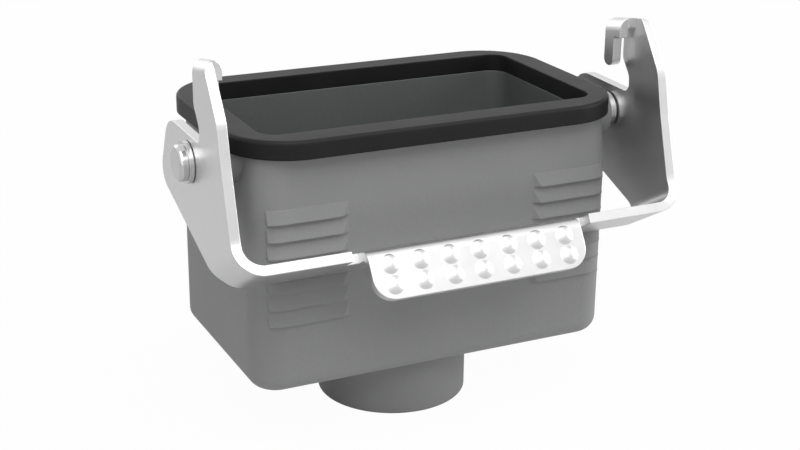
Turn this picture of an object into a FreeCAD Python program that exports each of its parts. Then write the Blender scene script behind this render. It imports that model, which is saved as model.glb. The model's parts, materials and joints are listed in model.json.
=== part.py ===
import FreeCAD, Part
import math
import os

from FreeCAD import Vector

# Heavy duty rectangular connector: the empty cable coupling hood, mouth up, with its locking lever open.
# Millimetres. X runs along the hood, Z is up and the lever's bar is at -Y.
# The origin is the centre of the cable entry's lower face, on which the hood stands.

# Housing casting
hood_length = 73.0
hood_width = 43.4
hood_corner = 5.5
shell_height = 44.6
wall = 3.15
floor_thickness = 3.0
rim_inset = 0.8
flare_height = 11.8
base_round = 3.2
mouth_corner = 3.5

# Ribs, cast on both long sides beside a plain panel
rib_count = 7
rib_pitch = 3.2
rib_depth = 0.75
rib_drop = 11.8
rib_rise = 2.5
rib_end_margin = 2.4
rib_end_taper = 1.5
panel_width = 37.6

# Cable entry under the floor, with its thread left as a plain bore of the core size
entry_radius = 14.8
entry_height = 13.0
thread_core_radius = 11.7
entry_edge_round = 0.6
entry_root_round = 1.2

# Corner posts for the screws of the contact insert
screw_end_inset = 8.0
screw_side_inset = 8.2
screw_core_radius = 1.65
screw_depth = 10.0
post_radius = 3.8
post_drop = 14.0

# Sealing gasket on the rim, held by a tongue of the casting
gasket_height = 3.4
gasket_overhang = 2.95
gasket_corner = 12.3
gasket_edge_round = 0.7
tongue_thickness = 0.9
tongue_height = 1.4
tongue_margin = 0.7
groove_clearance = 0.1

# Pivots of the lever: turned studs, pressed into bosses of the two end walls
pivot_forward = 10.0
pivot_drop = 2.2
boss_radius = 4.5
boss_gasket_gap = 0.3
pin_radius = 1.5
pin_depth = 4.6
shoulder_radius = 3.4
shoulder_length = 1.85
stud_radius = 2.4
stud_clearance = 0.08
arm_gap = 0.3
washer_gap = 0.12
washer_radius = 3.8
washer_thickness = 0.8
head_radius = 3.3
head_height = 1.6
head_round = 0.7

# Locking lever, one bent and stamped sheet. Its outline is given from the pivot: first towards
# the back of the hood, then up, then the radius that rounds the corner.
sheet = 1.8
arm_clearance = 3.6
bend_radius = 3.5
bar_reach = 23.5
bar_drop = 11.7
bar_angle = 30.0
stop_gap = 0.2
horn_top = 19.8
horn_nose = -8.8
horn_fall = 10.0
horn_back = -3.9
nose_round = 4.5
knee = (-20.9, -8.6, 5.0)
horn_front = [(-17.3, 3.6, 30.0), (-15.6, 11.0, 6.0)]
throat = [(horn_back, 11.2, 2.5), (-6.4, 8.0, 2.5), (-6.5, 4.9, 1.6)]
lug = [(11.6, 5.3, 6.0), (17.2, -7.2, 3.6)]

# Hook of each horn: its top is folded inwards and down to a finger that bears on the mating
# hood's peg. The fold's ends slant, from the horn's own edges to the narrower hook.
fold_gap = 0.85
fold_front = -10.5
hook_back = -1.4
hook_front = -6.3
finger_front = -4.4
finger_shoulder = 15.6
finger_tip = 9.7
finger_round = 1.4

# Grip pad, folded down from the front edge of the bar between two relief notches
pad_width = 42.0
pad_height = 9.4
pad_angle = 32.3
pad_offset = 0.45
pad_fold_radius = 2.4
pad_corner = 4.0
notch_width = 2.5
notch_depth = 3.6

# Raised bumps of the pad
bump_columns = 7
bump_rows = 2
bump_pitch_x = 5.75
bump_pitch_down = 3.6
bump_first_down = 3.25
bump_radius = 1.7
bump_height = 0.55

# Places that follow from the sizes
rim_z = entry_height + shell_height
floor_z = entry_height + floor_thickness
gasket_top_z = rim_z + gasket_height
half_length = hood_length / 2
half_width = hood_width / 2
mouth_half_length = half_length - wall
mouth_half_width = half_width - wall
rim_half_length = half_length - rim_inset
rim_half_width = half_width - rim_inset
gasket_half_length = rim_half_length + gasket_overhang
gasket_half_width = rim_half_width + gasket_overhang
pivot_y = -pivot_forward
pivot_z = rim_z - pivot_drop
arm_inside = gasket_half_length + arm_clearance
arm_outside = arm_inside + sheet
boss_face = arm_inside - arm_gap - shoulder_length
screw_x = half_length - screw_end_inset
screw_y = half_width - screw_side_inset
reach = 400.0


def rounded_rectangle(half_x, half_y, radius, height):
    """Closed wire of a rectangle with round corners, level at the given height."""
    edges = []
    corners = [(1, -1, -90), (1, 1, 0), (-1, 1, 90), (-1, -1, 180)]
    previous_end = None
    first_start = None
    for sign_x, sign_y, start_angle in corners:
        centre = Vector(sign_x * (half_x - radius), sign_y * (half_y - radius), height)
        points = []
        for turn in (0, 45, 90):
            angle = math.radians(start_angle + turn)
            points.append(centre + Vector(radius * math.cos(angle), radius * math.sin(angle), 0))
        if previous_end is None:
            first_start = points[0]
        else:
            edges.append(Part.LineSegment(previous_end, points[0]).toShape())
        edges.append(Part.Arc(points[0], points[1], points[2]).toShape())
        previous_end = points[2]
    edges.append(Part.LineSegment(previous_end, first_start).toShape())
    return Part.Wire(edges)


def rounded_block(half_x, half_y, radius, bottom, top):
    """Upright prism with the section of a rounded rectangle."""
    face = Part.Face(rounded_rectangle(half_x, half_y, radius, bottom))
    return face.extrude(Vector(0, 0, top - bottom))


def outline_wire(corners, place):
    """Closed wire through corners (a, b, radius), each rounded; place turns (a, b) into a point."""
    count = len(corners)
    starts = []
    arcs = []
    ends = []
    for index in range(count):
        here = Vector(corners[index][0], corners[index][1], 0)
        before = Vector(corners[index - 1][0], corners[index - 1][1], 0)
        after = Vector(corners[(index + 1) % count][0], corners[(index + 1) % count][1], 0)
        radius = corners[index][2]
        to_before = before - here
        to_after = after - here
        opening = to_before.getAngle(to_after)
        setback = radius / math.tan(opening / 2) if radius > 0 else 0.0
        longest = 0.49 * min(to_before.Length, to_after.Length)
        if setback > longest:
            setback = longest
            radius = setback * math.tan(opening / 2)
        to_before.normalize()
        to_after.normalize()
        start = here + to_before * setback
        end = here + to_after * setback
        starts.append(start)
        ends.append(end)
        if setback > 0:
            inward = to_before + to_after
            inward.normalize()
            middle = here + inward * (radius / math.sin(opening / 2) - radius)
            arcs.append(middle)
        else:
            arcs.append(None)
    edges = []
    for index in range(count):
        if arcs[index] is not None:
            points = [starts[index], arcs[index], ends[index]]
            edges.append(Part.Arc(*[place(point.x, point.y) for point in points]).toShape())
        following = (index + 1) % count
        line_start = place(ends[index].x, ends[index].y)
        line_end = place(starts[following].x, starts[following].y)
        edges.append(Part.LineSegment(line_start, line_end).toShape())
    return Part.Wire(edges)


def side_prism(corners, inner_x, outer_x):
    """Prism along X of an outline given from the pivot, towards the back and up."""
    wire = outline_wire(corners, lambda back, up: Vector(inner_x, pivot_y + back, pivot_z + up))
    return Part.Face(wire).extrude(Vector(outer_x - inner_x, 0, 0))


def cylinder_x(radius, start_x, end_x, y, z):
    """Cylinder along X between two places."""
    low = min(start_x, end_x)
    return Part.makeCylinder(radius, abs(end_x - start_x), Vector(low, y, z), Vector(1, 0, 0))


def both_ends(shape):
    """The shape and its mirror image at the other end of the hood."""
    return [shape, shape.mirror(Vector(0, 0, 0), Vector(1, 0, 0))]


def edges_at_height(shape, height):
    """Level edges of the shape that lie at one height."""
    found = []
    for edge in shape.Edges:
        box = edge.BoundBox
        if abs(box.ZMin - height) < 0.001 and abs(box.ZMax - height) < 0.001:
            found.append(edge)
    return found


def outer_shell():
    """Casting's outer form, with a round base, which draws in to the rim in a soft curve."""
    flare_bottom = rim_z - flare_height
    body = rounded_block(half_length, half_width, hood_corner, entry_height, flare_bottom)
    body = body.makeFillet(base_round, edges_at_height(body, entry_height))
    wires = []
    steps = 4
    for index in range(steps + 1):
        share = index / steps
        inset = rim_inset * (1 + math.cos(math.pi * share)) / 2
        height = rim_z - flare_height * share
        radius = hood_corner - inset
        wires.append(rounded_rectangle(half_length - inset, half_width - inset, radius, height))
    return body.fuse(Part.makeLoft(wires, True, False))


def rib_bands():
    """Ribs of both long sides: each leans outwards as it comes down and ends in a sharp underside."""
    inner_x = panel_width / 2
    outer_x = half_length - rib_end_margin
    low_x = inner_x + 2 * rib_end_taper
    high_x = outer_x - 2 * rib_end_taper
    far_y = half_width + 2 * rib_depth
    plan = [(inner_x, -half_width), (low_x, -far_y), (high_x, -far_y), (outer_x, -half_width),
            (outer_x, half_width), (high_x, far_y), (low_x, far_y), (inner_x, half_width)]
    points = [Vector(x, y, 0) for x, y in plan]
    slots = both_ends(Part.Face(Part.makePolygon(points + points[:1])).extrude(Vector(0, 0, rim_z)))
    pieces = []
    for index in range(rib_count):
        underside = rim_z - rib_drop - index * rib_pitch
        sections = []
        for outset, height in ((0.0, underside + rib_rise), (rib_depth, underside)):
            sections.append(rounded_rectangle(half_length + outset, half_width + outset,
                                              hood_corner + outset, height))
        band = Part.makeLoft(sections, True, True)
        pieces += [band.common(slot) for slot in slots]
    return pieces


def corner_posts():
    """Four posts in the corners of the cavity, up to the seat of the contact insert."""
    posts = []
    post_height = rim_z - post_drop - entry_height - floor_thickness / 2
    bottom = entry_height + floor_thickness / 2
    for sign_x in (-1, 1):
        for sign_y in (-1, 1):
            x = sign_x * screw_x
            y = sign_y * screw_y
            post = Part.makeCylinder(post_radius, post_height, Vector(x, y, bottom))
            to_end = mouth_half_length + wall / 3 - abs(x)
            to_side = mouth_half_width + wall / 3 - abs(y)
            low_x = x if sign_x > 0 else x - to_end
            low_y = y - post_radius
            post = post.fuse(Part.makeBox(to_end, 2 * post_radius, post_height, Vector(low_x, low_y, bottom)))
            low_x = x - post_radius
            low_y = y if sign_y > 0 else y - to_side
            post = post.fuse(Part.makeBox(2 * post_radius, to_side, post_height, Vector(low_x, low_y, bottom)))
            corner_x = x if sign_x > 0 else x - to_end
            corner_y = y if sign_y > 0 else y - to_side
            post = post.fuse(Part.makeBox(to_end, to_side, post_height, Vector(corner_x, corner_y, bottom)))
            posts.append(post)
    return posts


def screw_holes():
    """Tapping holes in the tops of the corner posts."""
    holes = []
    top = rim_z - post_drop
    for x in (-screw_x, screw_x):
        for y in (-screw_y, screw_y):
            holes.append(Part.makeCylinder(screw_core_radius, screw_depth + 1, Vector(x, y, top - screw_depth)))
    return holes


def entry_spout():
    """Round cable entry below the floor, with a soft lower edge and a fillet into the base."""
    height = entry_height + floor_thickness / 2
    spout = Part.makeCylinder(entry_radius, height)
    spout = spout.makeFillet(entry_edge_round, edges_at_height(spout, 0.0))
    start = Vector(entry_radius, 0, entry_height - entry_root_round)
    end = Vector(entry_radius + entry_root_round, 0, entry_height)
    slack = entry_root_round * (1 - math.cos(math.radians(45)))
    middle = Vector(entry_radius + slack, 0, entry_height - slack)
    inside = Vector(entry_radius - 0.5, 0, entry_height)
    lower_inside = Vector(entry_radius - 0.5, 0, entry_height - entry_root_round)
    edges = [
        Part.Arc(start, middle, end).toShape(),
        Part.LineSegment(end, inside).toShape(),
        Part.LineSegment(inside, lower_inside).toShape(),
        Part.LineSegment(lower_inside, start).toShape(),
    ]
    root = Part.Face(Part.Wire(edges)).revolve(Vector(0, 0, 0), Vector(0, 0, 1), 360)
    return spout.fuse(root)


def pivot_bosses():
    """Bosses of the end walls that carry the lever's studs, cut away round the gasket's edge."""
    start = half_length - wall / 2
    boss = cylinder_x(boss_radius, start, boss_face, pivot_y, pivot_z)
    gasket_room = gasket_half_length + boss_gasket_gap
    above = Part.makeBox(gasket_room, reach, reach, Vector(0, -reach / 2, rim_z - boss_gasket_gap))
    return both_ends(boss.cut(above))


def stud_holes():
    """Blind holes for the studs' pins in the bosses."""
    return both_ends(cylinder_x(pin_radius, boss_face - pin_depth, boss_face + 1, pivot_y, pivot_z))


def rim_tongue():
    """Ridge on the rim that holds the gasket."""
    inner_x = mouth_half_length + tongue_margin
    inner_y = mouth_half_width + tongue_margin
    inner_corner = mouth_corner + tongue_margin
    outer = rounded_block(inner_x + tongue_thickness, inner_y + tongue_thickness,
                          inner_corner + tongue_thickness, rim_z - 1.0, rim_z + tongue_height)
    inner = rounded_block(inner_x, inner_y, inner_corner, rim_z - 2.0, rim_z + tongue_height + 1)
    return outer.cut(inner)


def housing():
    shell = outer_shell().fuse(rib_bands() + pivot_bosses() + [entry_spout()])
    cavity = rounded_block(mouth_half_length, mouth_half_width, mouth_corner, floor_z, rim_z + reach)
    shell = shell.cut(cavity)
    shell = shell.fuse(corner_posts() + [rim_tongue()])
    bore = Part.makeCylinder(thread_core_radius, floor_z + 2, Vector(0, 0, -1))
    shell = shell.cut([bore] + screw_holes() + stud_holes())
    return shell.removeSplitter()


def rim_gasket():
    """Flat rubber ring that stands out over the rim, with a groove below for the tongue."""
    outer = rounded_block(gasket_half_length, gasket_half_width, gasket_corner, rim_z, gasket_top_z)
    outer = outer.makeFillet(gasket_edge_round, edges_at_height(outer, gasket_top_z))
    inner = rounded_block(mouth_half_length, mouth_half_width, mouth_corner, rim_z - 1, gasket_top_z + 1)
    low = tongue_margin - groove_clearance
    high = tongue_margin + tongue_thickness + groove_clearance
    groove_top = rim_z + tongue_height + 2 * groove_clearance
    groove = rounded_block(mouth_half_length + high, mouth_half_width + high, mouth_corner + high,
                           rim_z - 1, groove_top)
    core = rounded_block(mouth_half_length + low, mouth_half_width + low, mouth_corner + low,
                         rim_z - 2, groove_top + 1)
    return outer.cut(inner).cut(groove.cut(core))


def lever_frame():
    """The bar's front upper edge and the directions along its sheet, forwards and outwards."""
    tilt = math.radians(bar_angle)
    forward = Vector(0, -math.cos(tilt), math.sin(tilt))
    outward = Vector(0, -math.sin(tilt), -math.cos(tilt))
    front_edge = Vector(0, pivot_y - bar_reach, pivot_z - bar_drop)
    return front_edge, forward, outward


def bar_width():
    """Width of the bar's sheet, which ends just clear of the ribs that stop it."""
    front_edge, forward, outward = lever_frame()
    stop_y = -(half_width + rib_depth + stop_gap)
    return (stop_y - front_edge.y) / -forward.y


def bent_strip():
    """Endless sheet bent to a U: both arms, the two bends and the bar, as wide as it needs to be."""
    front_edge, forward, outward = lever_frame()
    outer_bend = bend_radius + sheet
    bend_x = arm_inside - bend_radius
    edges = []

    def place(x, out):
        return front_edge + Vector(x, 0, 0) + outward * out - forward * reach / 2

    def line(start, end):
        edges.append(Part.LineSegment(place(*start), place(*end)).toShape())

    def bend(sign, radius, first, last):
        middle = (sign * (bend_x + radius * math.sin(math.pi / 4)),
                  -bend_radius + radius * math.cos(math.pi / 4))
        edges.append(Part.Arc(place(*first), place(*middle), place(*last)).toShape())

    top = -reach / 4
    line((arm_inside, top), (arm_outside, top))
    line((arm_outside, top), (arm_outside, -bend_radius))
    bend(1, outer_bend, (arm_outside, -bend_radius), (bend_x, sheet))
    line((bend_x, sheet), (-bend_x, sheet))
    bend(-1, outer_bend, (-bend_x, sheet), (-arm_outside, -bend_radius))
    line((-arm_outside, -bend_radius), (-arm_outside, top))
    line((-arm_outside, top), (-arm_inside, top))
    line((-arm_inside, top), (-arm_inside, -bend_radius))
    bend(-1, bend_radius, (-arm_inside, -bend_radius), (-bend_x, 0))
    line((-bend_x, 0), (bend_x, 0))
    bend(1, bend_radius, (bend_x, 0), (arm_inside, -bend_radius))
    line((arm_inside, -bend_radius), (arm_inside, top))
    return Part.Face(Part.Wire(edges)).extrude(forward * reach)


def from_pivot(point, radius):
    """A corner of the side outline for a point of the part."""
    return (point.y - pivot_y, point.z - pivot_z, radius)


def crest(back):
    """Height above the pivot of the horn's folded top, which falls towards the back."""
    return horn_top - (back - horn_nose) * math.tan(math.radians(horn_fall))


def side_outline():
    """Corners of the lever seen from its end: horn, throat, lug, and down to the bar."""
    front_edge, forward, outward = lever_frame()
    rear_edge = front_edge - forward * bar_width()
    below = outward * (4 * sheet)
    corners = [(horn_back, crest(horn_back) + 1, 0)]
    corners += throat + lug
    corners.append(from_pivot(rear_edge, 0))
    corners.append(from_pivot(rear_edge + below, 0))
    corners.append(from_pivot(front_edge + below, 0))
    corners.append(from_pivot(front_edge, 0))
    corners.append(knee)
    corners += horn_front
    corners.append((horn_nose, crest(horn_nose) + 1, nose_round))
    return corners


def along_crest(edges):
    """Solid swept along the sloping top of the right horn, from a closed section at the nose."""
    span = 4 * bar_reach
    fall = math.tan(math.radians(horn_fall))
    section = Part.Face(Part.Wire(edges))
    section.translate(Vector(0, -span, span * fall))
    return section.extrude(Vector(0, 2 * span, -2 * span * fall))


def fold_place(inward, up):
    """Point of the fold's section at the nose, from the arm's outside and the fold's centre line."""
    outer_fold = sheet + fold_gap / 2
    return Vector(arm_outside - inward, pivot_y + horn_nose, pivot_z + horn_top - outer_fold + up)


def horn_hook():
    """Sheet of one horn's top, folded inwards and back down beside the horn to a finger."""
    inner_fold = fold_gap / 2
    outer_fold = sheet + inner_fold
    width = 2 * outer_fold
    low = -2 * horn_top
    fold = along_crest([
        Part.Arc(fold_place(0, 0), fold_place(outer_fold, outer_fold), fold_place(width, 0)).toShape(),
        Part.LineSegment(fold_place(width, 0), fold_place(width - sheet, 0)).toShape(),
        Part.Arc(fold_place(width - sheet, 0), fold_place(outer_fold, inner_fold),
                 fold_place(sheet, 0)).toShape(),
        Part.LineSegment(fold_place(sheet, 0), fold_place(0, 0)).toShape(),
    ])
    leg_corners = [fold_place(width, 0), fold_place(width, low), fold_place(width - sheet, low),
                   fold_place(width - sheet, 0)]
    leg = along_crest(Part.makePolygon(leg_corners + leg_corners[:1]).Edges)
    slant_end = width - sheet
    plan = [(-1, horn_back), (0, horn_back), (slant_end, hook_back), (width + 1, hook_back),
            (width + 1, hook_front), (slant_end, hook_front), (0, fold_front), (-1, fold_front)]
    points = [Vector(arm_outside - inward, pivot_y + back, 0) for inward, back in plan]
    footprint = Part.Face(Part.makePolygon(points + points[:1])).extrude(Vector(0, 0, reach))
    above = crest(hook_back) + 3
    finger = [(hook_back, above, 0), (hook_back, finger_tip, finger_round),
              (finger_front, finger_tip, finger_round), (finger_front, finger_shoulder, 0.6),
              (horn_front[-1][0], finger_shoulder, 0), (horn_nose, crest(horn_nose) + 1, nose_round)]
    outline = side_prism(finger, arm_outside - width - 1, arm_outside + 1)
    return fold.fuse(leg).common(footprint).common(outline).removeSplitter()


def above_fold():
    """Square edge of one horn's top, outside the round of its fold."""
    outer_fold = sheet + fold_gap / 2
    quarter = math.sqrt(0.5) * outer_fold
    high = outer_fold + 3
    return along_crest([
        Part.Arc(fold_place(0, 0), fold_place(outer_fold - quarter, quarter),
                 fold_place(outer_fold, outer_fold)).toShape(),
        Part.LineSegment(fold_place(outer_fold, outer_fold), fold_place(outer_fold, high)).toShape(),
        Part.LineSegment(fold_place(outer_fold, high), fold_place(-1, high)).toShape(),
        Part.LineSegment(fold_place(-1, high), fold_place(-1, 0)).toShape(),
        Part.LineSegment(fold_place(-1, 0), fold_place(0, 0)).toShape(),
    ])


def pad_frame():
    """Sharp upper corner of the pad's front face, the way down it and its outward normal."""
    front_edge, forward, outward = lever_frame()
    lean = math.radians(pad_angle)
    corner = front_edge + forward * pad_offset
    down = Vector(0, -math.sin(lean), -math.cos(lean))
    normal = Vector(0, -math.cos(lean), math.sin(lean))
    return corner, down, normal


def grip_pad():
    """Pad folded down from the bar: its section along X, then the round lower corners."""
    front_edge, forward, outward = lever_frame()
    corner, down, normal = pad_frame()
    fold = forward.getAngle(down)
    setback = pad_fold_radius * math.tan(fold / 2)
    half = pad_width / 2
    start = Vector(-half, 0, 0)
    strip_top = corner - forward * (setback + sheet)
    fold_top = corner - forward * setback
    centre = fold_top + outward * pad_fold_radius
    fold_end = corner + down * setback
    tip = corner + down * pad_height
    bisector = corner - centre
    bisector.normalize()
    outer_middle = centre + bisector * pad_fold_radius
    inner_middle = centre + bisector * (pad_fold_radius - sheet)
    edges = [
        Part.LineSegment(start + strip_top, start + fold_top).toShape(),
        Part.Arc(start + fold_top, start + outer_middle, start + fold_end).toShape(),
        Part.LineSegment(start + fold_end, start + tip).toShape(),
        Part.LineSegment(start + tip, start + tip - normal * sheet).toShape(),
        Part.LineSegment(start + tip - normal * sheet, start + fold_end - normal * sheet).toShape(),
        Part.Arc(start + fold_end - normal * sheet, start + inner_middle,
                 start + fold_top + outward * sheet).toShape(),
        Part.LineSegment(start + fold_top + outward * sheet, start + strip_top + outward * sheet).toShape(),
        Part.LineSegment(start + strip_top + outward * sheet, start + strip_top).toShape(),
    ]
    folded = Part.Face(Part.Wire(edges)).extrude(Vector(pad_width, 0, 0))
    corners = [(-half, -reach / 4, 0), (half, -reach / 4, 0), (half, pad_height, pad_corner),
               (-half, pad_height, pad_corner)]
    shield_wire = outline_wire(corners, lambda x, along: corner + Vector(x, 0, 0) + down * along + normal * 5)
    shield = Part.Face(shield_wire).extrude(normal * -reach / 4)
    return folded.common(shield)


def pad_opening():
    """Front strip of the bar that the pad's fold and its two relief notches take away."""
    front_edge, forward, outward = lever_frame()
    corner, down, normal = pad_frame()
    setback = pad_fold_radius * math.tan(forward.getAngle(down) / 2)

    def slab(half, depth):
        start = front_edge - forward * depth - outward + Vector(-half, 0, 0)
        edges = [start, start + Vector(2 * half, 0, 0), start + Vector(2 * half, 0, 0) + forward * (depth + 5),
                 start + forward * (depth + 5), start]
        return Part.Face(Part.makePolygon(edges)).extrude(outward * (sheet + 2))

    fold_slab = slab(pad_width / 2, setback - pad_offset)
    notch_slab = slab(pad_width / 2 + notch_width, notch_depth)
    pad_slab = slab(pad_width / 2, notch_depth + 1)
    return [fold_slab, notch_slab.cut(pad_slab)]


def bump_places():
    """Centres of the bumps on the pad's front face."""
    corner, down, normal = pad_frame()
    places = []
    for row in range(bump_rows):
        for column in range(bump_columns):
            x = (column - (bump_columns - 1) / 2) * bump_pitch_x
            along = bump_first_down + row * bump_pitch_down
            places.append(corner + Vector(x, 0, 0) + down * along)
    return places


def lever_sheet():
    """Bar, bends and arms with the side outline, the hooks and the pad, before the bumps."""
    sheet_body = bent_strip().common(side_prism(side_outline(), -arm_outside - 1, arm_outside + 1))
    sheet_body = sheet_body.cut(both_ends(above_fold()))
    sheet_body = sheet_body.fuse(both_ends(horn_hook()))
    return sheet_body.cut(pad_opening()).fuse(grip_pad())


def locking_lever():
    corner, down, normal = pad_frame()
    ball_radius = (bump_radius ** 2 + bump_height ** 2) / (2 * bump_height)
    depth = ball_radius - bump_height
    lever = lever_sheet()
    domes = []
    dents = []
    for place in bump_places():
        ball = Part.makeSphere(ball_radius, place - normal * depth)
        keep = Part.makeCylinder(bump_radius + 0.5, bump_height + 1, place - normal * 0.05, normal)
        domes.append(ball.common(keep))
        dents.append(Part.makeSphere(ball_radius - sheet, place - normal * depth, Vector(-1, 0, 0)))
    lever = lever.fuse(domes).cut(dents)
    hole = cylinder_x(stud_radius + stud_clearance, arm_inside - 1, arm_outside + 1, pivot_y, pivot_z)
    return lever.cut(both_ends(hole)).removeSplitter()


def pivot_stud():
    """Stud of the right end: pin in the boss, shoulder, journal for the arm, and a round head."""
    head_start = arm_outside + washer_gap + washer_thickness
    pin = cylinder_x(pin_radius, boss_face - pin_depth, boss_face + shoulder_length / 2, pivot_y, pivot_z)
    shoulder = cylinder_x(shoulder_radius, boss_face, boss_face + shoulder_length, pivot_y, pivot_z)
    journal = cylinder_x(stud_radius, boss_face + shoulder_length / 2, head_start + head_height / 2,
                         pivot_y, pivot_z)
    head = cylinder_x(head_radius, head_start, head_start + head_height, pivot_y, pivot_z)
    rim = [edge for edge in head.Edges if edge.BoundBox.XMin > head_start + head_height - 0.001]
    head = head.makeFillet(head_round, rim)
    return pin.fuse([shoulder, journal, head]).removeSplitter()


def pivot_washer():
    """Flat washer of the right end, between the arm and the stud's head."""
    start = arm_outside + washer_gap
    disc = cylinder_x(washer_radius, start, start + washer_thickness, pivot_y, pivot_z)
    hole = cylinder_x(stud_radius + stud_clearance, start - 1, start + washer_thickness + 1, pivot_y, pivot_z)
    return disc.cut(hole)


def single_solid(shape):
    """The one solid that a shape holds."""
    solids = shape.Solids
    if len(solids) != 1:
        raise ValueError("expected one solid and found " + str(len(solids)))
    return solids[0]


def main():
    os.makedirs("parts", exist_ok=True)
    parts = {
        "housing": housing(),
        "rim_gasket": rim_gasket(),
        "locking_lever": locking_lever(),
    }
    for side, stud, washer in zip(("right", "left"), both_ends(pivot_stud()), both_ends(pivot_washer())):
        parts["pivot_stud_" + side] = stud
        parts["pivot_washer_" + side] = washer
    for name, shape in parts.items():
        solid = single_solid(shape)
        solid.exportStep("parts/" + name + ".step")
        box = solid.BoundBox
        print(name, solid.isValid(), round(solid.Volume, 1),
              [round(value, 2) for value in (box.XMin, box.XMax, box.YMin, box.YMax, box.ZMin, box.ZMax)])


main()
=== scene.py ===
# %% [markdown]
# # A cable coupling hood with its locking lever open
# The object is the empty hood of a heavy duty rectangular connector. It stands on its round cable
# entry with the mouth up. A grey die casting carries a black rubber gasket, and a bright steel lever
# swings on two studs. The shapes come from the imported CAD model, which is loaded as a fixed frame.
# This script gives them their finishes, adds the screw threads that the solids leave out, and sets
# up floor, light and camera.

import json
import math

import bpy
import numpy as np
from mathutils import Matrix, Vector


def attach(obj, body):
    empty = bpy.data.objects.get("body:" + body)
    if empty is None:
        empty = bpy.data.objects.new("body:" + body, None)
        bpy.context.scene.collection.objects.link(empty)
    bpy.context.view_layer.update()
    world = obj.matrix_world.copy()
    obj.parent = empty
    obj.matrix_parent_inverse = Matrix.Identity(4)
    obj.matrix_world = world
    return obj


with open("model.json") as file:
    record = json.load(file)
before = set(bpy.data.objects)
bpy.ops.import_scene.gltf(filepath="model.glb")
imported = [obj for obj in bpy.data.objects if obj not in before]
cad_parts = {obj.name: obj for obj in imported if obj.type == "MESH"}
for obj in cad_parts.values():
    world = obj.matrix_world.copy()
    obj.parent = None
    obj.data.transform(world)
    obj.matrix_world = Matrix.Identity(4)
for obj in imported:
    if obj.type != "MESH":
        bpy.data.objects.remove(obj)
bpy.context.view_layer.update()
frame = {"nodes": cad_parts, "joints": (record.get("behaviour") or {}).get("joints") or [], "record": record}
nodes = frame["nodes"]
MM = 0.001
print("nodes:", sorted(nodes))

# %% [markdown]
# ## Writing materials as arithmetic
# Blender builds a material from nodes that are wired together. Placed one by one they make long,
# dull code, so a small class wraps one output of a node. Adding or multiplying two of them makes the
# Math node that does it, and a formula in Python becomes a formula in the material. Every other kind
# of node comes from one method, which takes the node's settings first and its values after them. The
# surroundings are wired with the same method, so it has a class of its own.

# %% A value in a material
class Wire:
    """One output of a node. Arithmetic on it adds Math nodes."""

    def __init__(self, nodes, node, output):
        self.nodes = nodes
        self.node = node
        self.socket = node.outputs[output]

    def other(self, output):
        """Another output of the same node."""
        return Wire(self.nodes, self.node, output)

    def __add__(self, value):
        return self.nodes.maths("ADD", self, value)

    def __sub__(self, value):
        return self.nodes.maths("SUBTRACT", self, value)

    def __rsub__(self, value):
        return self.nodes.maths("SUBTRACT", value, self)

    def __mul__(self, value):
        return self.nodes.maths("MULTIPLY", self, value)

    def __pow__(self, value):
        return self.nodes.maths("POWER", self, value)

    __radd__ = __add__
    __rmul__ = __mul__

    def between(self, low, high):
        """0 below low, 1 above high and a straight ramp from one to the other."""
        return self.nodes.add("ShaderNodeMapRange", {"clamp": True}, {0: self, 1: low, 2: high})


# %% Nodes and finishes
class Nodes:
    """The nodes of a material or of the surroundings, up to the output node that ends them."""

    def __init__(self, tree, ending):
        self.tree = tree
        self.ending = tree.nodes[ending]

    def add(self, kind, settings=None, values=None, output=0):
        """A new node of that kind: settings first, then the values or wires of its sockets."""
        node = self.tree.nodes.new(kind)
        for setting, value in (settings or {}).items():
            setattr(node, setting, value)
        for socket, value in (values or {}).items():
            if isinstance(value, Wire):
                self.tree.links.new(value.socket, node.inputs[socket])
            else:
                node.inputs[socket].default_value = value
        return Wire(self, node, output)

    def maths(self, operation, *values):
        """A Math node: the operation on the values, in their order."""
        return self.add("ShaderNodeMath", {"operation": operation}, dict(enumerate(values)))

    def show(self, shader):
        """Wires a shader to the output node."""
        self.tree.links.new(shader.socket, self.ending.inputs["Surface"])


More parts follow.
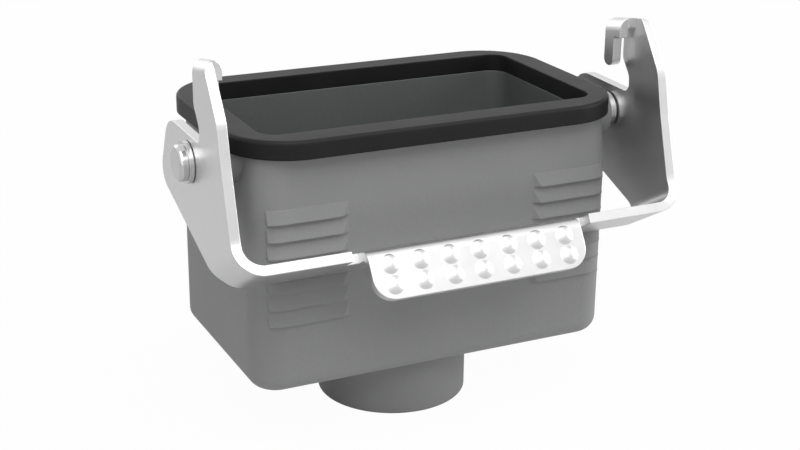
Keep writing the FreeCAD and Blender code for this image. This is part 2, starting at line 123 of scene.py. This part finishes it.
class Finish(Nodes):
    """A material with one main shader. Constants go straight to the shader's own sockets."""

    def __init__(self, name, **constants):
        self.material = bpy.data.materials.new(name)
        self.material.use_nodes = True
        super().__init__(self.material.node_tree, "Material Output")
        self.shader = self.tree.nodes["Principled BSDF"]
        for socket, value in constants.items():
            self.shader.inputs[socket.replace("_", " ")].default_value = value

    def feed(self, socket, wire):
        """Wires a result to the main shader."""
        self.tree.links.new(wire.socket, self.shader.inputs[socket])

    def place(self):
        """Position on the piece, in metres."""
        return self.add("ShaderNodeTexCoord", output="Object")

    def stretched(self, place, scales):
        """The position times one factor per axis."""
        return self.add("ShaderNodeVectorMath", {"operation": "MULTIPLY"}, {0: place, 1: scales})

    def noise(self, place, size, detail=2.0, roughness=0.5):
        """Soft irregular pattern whose lumps are about size metres across."""
        values = {"Vector": place, "Scale": 1.0 / size, "Detail": detail, "Roughness": roughness}
        return self.add("ShaderNodeTexNoise", {"noise_dimensions": "3D"}, values)

    def axes(self, place):
        """The three coordinates of a position, each as a value."""
        parts = self.add("ShaderNodeSeparateXYZ", {}, {0: place})
        return parts, parts.other("Y"), parts.other("Z")

    def colours(self, factor, first, second):
        """Blend of two colours. Each is three numbers or a wire."""
        first, second = [colour if isinstance(colour, Wire) else (*colour, 1) for colour in (first, second)]
        return self.add("ShaderNodeMix", {"data_type": "RGBA"}, {0: factor, 6: first, 7: second}).other(2)

    def soft_edges(self, radius):
        """Normal that rounds sharp edges over that radius."""
        return self.add("ShaderNodeBevel", {"samples": 6}, {"Radius": radius})

    def edge_mask(self, rounded):
        """1 on sharp edges and 0 on flat faces: how far the rounded normal turns from the face's own."""
        own = self.add("ShaderNodeNewGeometry", output="Normal")
        dot = {"operation": "DOT_PRODUCT"}
        alike = self.add("ShaderNodeVectorMath", dot, {0: rounded, 1: own}, output="Value")
        flat, sharp = 0.02, 0.2
        return (1 - alike).between(flat, sharp)

    def relief(self, pattern, height, normal):
        """Small bumps on top of a normal: where the pattern is 1 they are that height in metres."""
        return self.add("ShaderNodeBump", {}, {"Height": pattern, "Distance": height, "Normal": normal})

    def put_on(self, *objects):
        """Makes this the only finish of each piece."""
        for piece in objects:
            piece.data.materials.clear()
            piece.data.materials.append(self.material)
        print(self.material.name, "on", [piece.name for piece in objects])


# %% [markdown]
# ## The casting
# The hood is die-cast light alloy with a grey powder coat. Such a coat is even in colour, slightly
# pebbled like fine orange peel, and a little thinner and lighter where it pulls back from sharp
# edges. The pebbles are two sizes of noise in a bump. The Bevel node rounds the edges in shading
# only, which also gives the mask for the lighter edges, so the mesh can stay as it is. Inside the
# hood the coat gets a darker colour, which is painted shade for the light that the deep walls miss.
# A mask of the position finds the inside: its limits run halfway through the bottom and the walls of the
# hood, where no face lies along them.

# %% Grey powder coat
coat = Finish("grey_powder_coat", Metallic=0.0, Specular_IOR_Level=0.42)
place = coat.place()
pebbles = coat.noise(place, 0.55 * MM, detail=3.0)
waves = coat.noise(place, 1.9 * MM, detail=1.0)
clouds = coat.noise(place, 24 * MM, detail=2.0)
rounded = coat.soft_edges(0.35 * MM)
edges = coat.edge_mask(rounded)
mottle = clouds * 0.6 + pebbles * 0.4
tone = coat.colours(mottle, (0.222, 0.226, 0.224), (0.286, 0.29, 0.287))
worn = coat.colours(edges * 0.35, tone, (0.36, 0.362, 0.36))
bottom_middle, end_wall_middle, side_wall_middle = 14.5 * MM, 33.9 * MM, 19.1 * MM
seam = 0.2 * MM
x, y, z = coat.axes(place)
inside = (z - bottom_middle).between(0, seam)
inside = inside * (end_wall_middle - coat.maths("ABSOLUTE", x)).between(0, seam)
inside = inside * (side_wall_middle - coat.maths("ABSOLUTE", y)).between(0, seam)
# Painted shade: a darker copy of the coat colour inside the hood, standing in for the shade there.
inside_painted_shade = coat.colours(mottle, (0.11, 0.116, 0.114), (0.144, 0.15, 0.148))
coat.feed("Base Color", coat.colours(inside, worn, inside_painted_shade))
coat.feed("Roughness", 0.46 + pebbles * 0.14)
coat.feed("Normal", coat.relief(pebbles * 0.55 + waves * 0.45, 0.07 * MM, rounded))
coat.put_on(nodes["housing"])

# %% [markdown]
# ## The gasket
# The gasket is moulded black rubber. It is nearly black from the front and greyer on top, where it
# mirrors the light at a flat angle. A faint bloom of lighter spots and a fine grain keep it from
# looking like plastic.

# %% Black rubber
rubber = Finish("black_rubber", Metallic=0.0, Specular_IOR_Level=0.22)
place = rubber.place()
grain = rubber.noise(place, 0.35 * MM, detail=3.0)
bloom = rubber.noise(place, 9 * MM, detail=4.0)
rubber.feed("Base Color", rubber.colours(bloom * 0.7 + grain * 0.3, (0.005, 0.005, 0.0052),
                                         (0.012, 0.012, 0.0123)))
rubber.feed("Roughness", 0.42 + bloom * 0.16)
rubber.feed("Normal", rubber.relief(grain, 0.04 * MM, rubber.soft_edges(0.4 * MM)))
rubber.put_on(nodes["rim_gasket"])

# %% [markdown]
# ## The lever
# The lever is stamped and bent from bright rolled stainless sheet. Rolling leaves very fine lines
# along the sheet, handling leaves soft smudges that change the gloss more than the colour, and the
# sheared edges are a little brighter. The lines are noise that is stretched along the hood.

# %% Bright rolled sheet
sheet_steel = Finish("bright_rolled_steel", Metallic=1.0)
place = sheet_steel.place()
rolled = sheet_steel.noise(sheet_steel.stretched(place, (0.06, 1.0, 1.0)), 0.16 * MM, detail=2.0)
smudge = sheet_steel.noise(place, 7 * MM, detail=4.0, roughness=0.6)
rounded = sheet_steel.soft_edges(0.22 * MM)
edges = sheet_steel.edge_mask(rounded)
bright = sheet_steel.colours(smudge, (0.615, 0.615, 0.615), (0.685, 0.685, 0.685))
sheet_steel.feed("Base Color", bright)
sheet_steel.feed("Roughness", 0.24 + smudge * 0.14 + rolled * 0.05 - edges * 0.06)
sheet_steel.feed("Normal", sheet_steel.relief(rolled, 0.006 * MM, rounded))
sheet_steel.put_on(nodes["locking_lever"])

# %% [markdown]
# ## Studs and washers
# The studs are turned on a lathe, so their heads carry fine rings round the axis. The distance from
# the pivot axis makes the rings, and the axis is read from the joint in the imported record.

# %% Turned steel
pivot = [joint for joint in frame["joints"] if joint["name"] == "lever_pivot"][0]["pos_m"]
ring_pitch = 0.22 * MM
turned = Finish("turned_steel", Metallic=1.0)
place = turned.place()
y, z = turned.axes(place)[1:]
across = y - pivot[1]
above = z - pivot[2]
from_axis = (across * across + above * above) ** 0.5
rings = turned.maths("SINE", from_axis * (2 * math.pi / ring_pitch))
smudge = turned.noise(place, 2.5 * MM, detail=3.0)
turned.feed("Base Color", turned.colours(smudge, (0.5, 0.5, 0.5), (0.6, 0.6, 0.6)))
turned.feed("Roughness", 0.13 + smudge * 0.14)
turned.feed("Normal", turned.relief(rings, 0.004 * MM, turned.soft_edges(0.15 * MM)))
turned.put_on(*[nodes[name] for name in sorted(nodes) if name.startswith("pivot_")])

# %% [markdown]
# ## Screw threads
# The cable entry and the four insert posts are threaded, and the solids leave the threads out. A
# thread is a ridge that climbs one pitch in each turn. On a grid of angle and height, the distance
# from the axis is a wave of the height less the share of a turn, so whole arrays give it at once.

# %% Thread surface
def thread_ring(centre, radius, angle, height):
    """Points at that distance from the bore's axis: centre + radius times cosine and sine, and height."""
    return np.stack([centre[0] + radius * np.cos(angle), centre[1] + radius * np.sin(angle), height], -1)


def thread_piece(name, centre, radius, depth, pitch, bottom, top, columns):
    """Sleeve in a bore. Its outside lies a hair behind the bore's wall. Its inside is the bore's radius
    less the depth times a wave, which follows height / pitch less angle / full turn. The wave is a
    triangle, stretched and sunk, then cut flat at 1 on the crests and at 0 in the roots, and it fades
    out over one pitch at both ends."""
    rows_per_pitch = 10
    rows = max(8, int(round((top - bottom) / pitch * rows_per_pitch)))
    heights = np.linspace(bottom, top, rows + 1)
    angles = np.linspace(0, 2 * math.pi, columns, endpoint=False)
    height, angle = np.meshgrid(heights, angles, indexing="ij")
    share = (height / pitch - angle / (2 * math.pi)) % 1.0
    stretch, sink = 1.6, 0.2
    wave = np.clip(stretch * (1 - np.abs(2 * share - 1)) - sink, 0, 1)
    fade = np.clip(np.minimum(height - bottom, top - height) / pitch, 0, 1)
    inner = thread_ring(centre, radius - depth * wave * fade, angle, height)
    hair = 0.02 * MM
    outer = thread_ring(centre, np.full_like(height, radius + hair), angle, height)
    loop = np.concatenate([inner, outer[::-1]])
    row, column = np.meshgrid(np.arange(len(loop)), np.arange(columns), indexing="ij")
    this_row = row * columns
    next_row = ((row + 1) % len(loop)) * columns
    beside = (column + 1) % columns
    corners = [next_row + column, next_row + beside, this_row + beside, this_row + column]
    quads = np.stack(corners, -1).reshape(-1, 4)
    mesh = bpy.data.meshes.new(name)
    mesh.from_pydata(loop.reshape(-1, 3).tolist(), [], quads.tolist())
    mesh.polygons.foreach_set("use_smooth", np.ones(len(mesh.polygons), bool))
    mesh.update()
    piece = bpy.data.objects.new(name, mesh)
    bpy.context.scene.collection.objects.link(piece)
    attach(piece, "hood")
    print(name, len(mesh.polygons), "faces")
    return piece


# %% Entry thread and screw threads
mounts = {mount["name"]: mount for mount in frame["record"]["mounts"]}
entry = mounts["cable_entry"]
entry_depth, entry_pitch = 0.45 * MM, 1.5 * MM
entry_bottom, entry_top = 0.9 * MM, (entry["dims"]["length_mm"] - 0.6) * MM
entry_radius = entry["dims"]["r_mm"] * MM
threads = [thread_piece("entry_thread", (0.0, 0.0), entry_radius, entry_depth, entry_pitch, entry_bottom,
                        entry_top, columns=96)]
screws = mounts["insert_screws"]
half_x = screws["dims"]["spacing_x_mm"] / 2 * MM
half_y = screws["dims"]["spacing_y_mm"] / 2 * MM
screw_radius, screw_depth, screw_pitch = screws["dims"]["hole_r_mm"] * MM, 0.25 * MM, 0.7 * MM
screw_bottom, screw_top = screws["pos_m"][2] - 8 * MM, screws["pos_m"][2] - 0.3 * MM
for x, y in ((-half_x, -half_y), (half_x, -half_y), (half_x, half_y), (-half_x, half_y)):
    name = "post_thread_" + ("back" if y > 0 else "front") + ("_right" if x > 0 else "_left")
    threads.append(thread_piece(name, (x, y), screw_radius, screw_depth, screw_pitch, screw_bottom,
                                screw_top, columns=32))

# %% [markdown]
# Cut threads are bare metal, brighter than the coat around them, with the marks of the tap along
# the flanks.

# %% Cut alloy
cut = Finish("cut_alloy", Metallic=1.0)
place = cut.place()
marks = cut.noise(cut.stretched(place, (1.0, 1.0, 4.0)), 0.5 * MM, detail=3.0)
cut.feed("Base Color", cut.colours(marks, (0.5, 0.5, 0.5), (0.66, 0.66, 0.665)))
cut.feed("Roughness", 0.3 + marks * 0.2)
cut.put_on(*threads)

# %% [markdown]
# ## Floor, surroundings and light
# The picture is a cut-out on white. The surroundings are plain white wherever the camera or a mirror
# reflection meets them, but light matt surfaces only weakly, so that shadows stay. The floor glows
# nearly white for the camera and keeps a faint shadow. Inside the cable entry's bore it doesn't glow,
# because there it lies in deep shade. A large soft lamp stands high over the front and a second one
# low at the right. Two weak ones keep the left side and the back from going dark.

# %% Surroundings
plain_white = (1, 1, 1, 1)
world = bpy.data.worlds.new("studio")
bpy.context.scene.world = world
world.use_nodes = True
world.node_tree.nodes.remove(world.node_tree.nodes["Background"])
studio = Nodes(world.node_tree, "World Output")
camera_ray = studio.add("ShaderNodeLightPath", output="Is Camera Ray")
seen = studio.maths("MAXIMUM", camera_ray, camera_ray.other("Is Glossy Ray"))
seen = studio.maths("MAXIMUM", seen, camera_ray.other("Is Transmission Ray"))
lighting = studio.add("ShaderNodeBackground", {}, {"Color": plain_white, "Strength": 0.16})
white = studio.add("ShaderNodeBackground", {}, {"Color": plain_white, "Strength": 1.0})
studio.show(studio.add("ShaderNodeMixShader", {}, {0: seen, 1: lighting, 2: white}))
print(world.name, "has", len(world.node_tree.nodes), "nodes")

# %% Floor
reach, depth = 4.0, -0.1 * MM
corners = [(-reach, -reach, depth), (reach, -reach, depth), (reach, reach, depth), (-reach, reach, depth)]
floor_mesh = bpy.data.meshes.new("floor")
floor_mesh.from_pydata(corners, [], [(0, 1, 2, 3)])
floor = bpy.data.objects.new("floor", floor_mesh)
bpy.context.scene.collection.objects.link(floor)
pale = Finish("pale_floor", Base_Color=(0.86, 0.86, 0.86, 1), Roughness=0.9, Specular_IOR_Level=0.1)
glow = pale.add("ShaderNodeEmission", {}, {"Color": plain_white, "Strength": 1.0}, output="Emission")
camera_ray = pale.add("ShaderNodeLightPath", output="Is Camera Ray")
x, y = pale.axes(pale.place())[:2]
shade_radius, glow_radius = 12 * MM, 14 * MM
beyond_bore = ((x * x + y * y) ** 0.5).between(shade_radius, glow_radius)
seen_glow, mirrored_glow = 0.97, 0.3
glowing = (camera_ray * seen_glow + camera_ray.other("Is Glossy Ray") * mirrored_glow) * beyond_bore
matt = Wire(pale, pale.shader, "BSDF")
pale.show(pale.add("ShaderNodeMixShader", {}, {0: glowing, 1: matt, 2: glow}))
pale.put_on(floor)


# %% Lamps
def soft_lamp(name, side, height, size, watts):
    """A square lamp that faces the hood from 1.1 m away. The two angles, in degrees, say where it stands:
    how far to the right of the front, and how high above the hood."""
    light = bpy.data.lights.new(name, "AREA")
    light.shape = "SQUARE"
    light.size = size
    light.energy = watts
    lamp = bpy.data.objects.new(name, light)
    side, height = math.radians(side), math.radians(height)
    away = Vector((math.sin(side) * math.cos(height), -math.cos(side) * math.cos(height), math.sin(height)))
    hood_middle, distance = Vector((0, 0, 0.04)), 1.1
    lamp.location = hood_middle + away * distance
    lamp.rotation_euler = (-away).to_track_quat("-Z", "Y").to_euler()
    bpy.context.scene.collection.objects.link(lamp)
    print(name, [round(value, 2) for value in lamp.location])


soft_lamp("high_lamp", side=-12, height=60, size=1.1, watts=8.8)
soft_lamp("left_lamp", side=-42, height=20, size=0.8, watts=1.1)
soft_lamp("right_lamp", side=76, height=18, size=0.75, watts=6.2)
soft_lamp("back_lamp", side=-165, height=25, size=0.75, watts=1.6)

# %% [markdown]
# ## Camera
# The camera stands where the photograph was taken. Its place, direction and focal length were worked
# out from the straight edges of the gasket and body, and the picture needs no shift.

# %% Camera
yaw, pitch, roll = math.radians(25.776), math.radians(20.022), math.radians(0.589)
camera_place = Vector((-0.11991, -0.25185, 0.1355))
forward = Vector((math.sin(yaw) * math.cos(pitch), math.cos(yaw) * math.cos(pitch), -math.sin(pitch)))
level = Vector((math.cos(yaw), -math.sin(yaw), 0))
upright = level.cross(forward)
right = level * math.cos(roll) + upright * math.sin(roll)
up = upright * math.cos(roll) - level * math.sin(roll)
lens = bpy.data.cameras.new("camera")
lens.sensor_width = 36.0
lens.lens = 68.08
lens.clip_start = 0.01
camera = bpy.data.objects.new("camera", lens)
turn = Matrix((right, up, -forward)).transposed().to_4x4()
camera.matrix_world = Matrix.Translation(camera_place) @ turn
bpy.context.scene.collection.objects.link(camera)
bpy.context.scene.camera = camera
bpy.context.scene.view_settings.view_transform = "Standard"
print("camera at", [round(value, 4) for value in camera_place])
